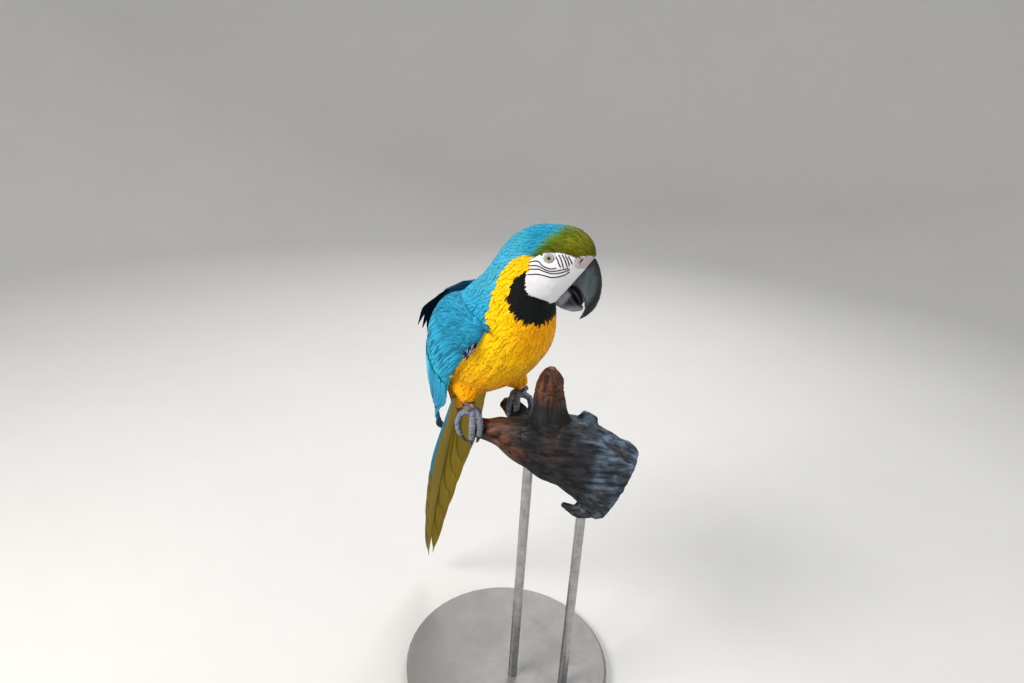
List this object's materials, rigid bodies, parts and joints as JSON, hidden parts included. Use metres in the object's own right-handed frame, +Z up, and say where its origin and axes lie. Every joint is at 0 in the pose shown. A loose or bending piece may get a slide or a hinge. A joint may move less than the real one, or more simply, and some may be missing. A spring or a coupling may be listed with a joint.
{
  "type": "blue-and-yellow macaw model on a log perch",
  "caption": "Life-size still model of a blue-and-yellow macaw gripping the end of a weathered log, held on a plain round display stand.",
  "frame": {"origin": "centre of the stand's underside", "axes": "+Z up, -Y the way the bird's breast faces, +X the bird's left side"},
  "size_m": [0.28, 0.368, 0.6426],
  "materials": {
    "blue_plumage": "soft feathers",
    "gold_plumage": "soft feathers",
    "green_plumage": "soft feathers",
    "tail_plumage": "soft feathers",
    "bill_horn": "satin horn",
    "foot_skin": "scaly skin",
    "claw_horn": "satin horn",
    "eye": "wet",
    "leg_ring": "worn",
    "driftwood": "damp and weathered",
    "stand_board": "satin paint",
    "stand_steel": "satin"
  },
  "bodies": {
    "root": {"bill_lower": "bill_horn", "bill_upper": "bill_horn", "claw_left_1": "claw_horn", "claw_left_2": "claw_horn", "claw_left_3": "claw_horn", "claw_left_4": "claw_horn", "claw_right_1": "claw_horn", "claw_right_2": "claw_horn", "claw_right_3": "claw_horn", "claw_right_4": "claw_horn", "eye_left": "eye", "eye_right": "eye", "foot_left": "foot_skin", "foot_right": "foot_skin", "head": "green_plumage", "limb": "driftwood", "neck": "gold_plumage", "ring_left": "leg_ring", "ring_right": "leg_ring", "stand_base": "stand_board", "stand_rod_back": "stand_steel", "stand_rod_front": "stand_steel", "tail_feather_left_1": "tail_plumage", "tail_feather_left_2": "tail_plumage", "tail_feather_left_3": "tail_plumage", "tail_feather_left_4": "tail_plumage", "tail_feather_left_5": "tail_plumage", "tail_feather_left_6": "tail_plumage", "tail_feather_right_1": "tail_plumage", "tail_feather_right_2": "tail_plumage", "tail_feather_right_3": "tail_plumage", "tail_feather_right_4": "tail_plumage", "tail_feather_right_5": "tail_plumage", "tail_feather_right_6": "tail_plumage", "thigh_left": "gold_plumage", "thigh_right": "gold_plumage", "tongue": "bill_horn", "trunk": "gold_plumage", "wing_left": "blue_plumage", "wing_left_primaries": "blue_plumage", "wing_right": "blue_plumage", "wing_right_primaries": "blue_plumage"}
  },
  "joints": []
}
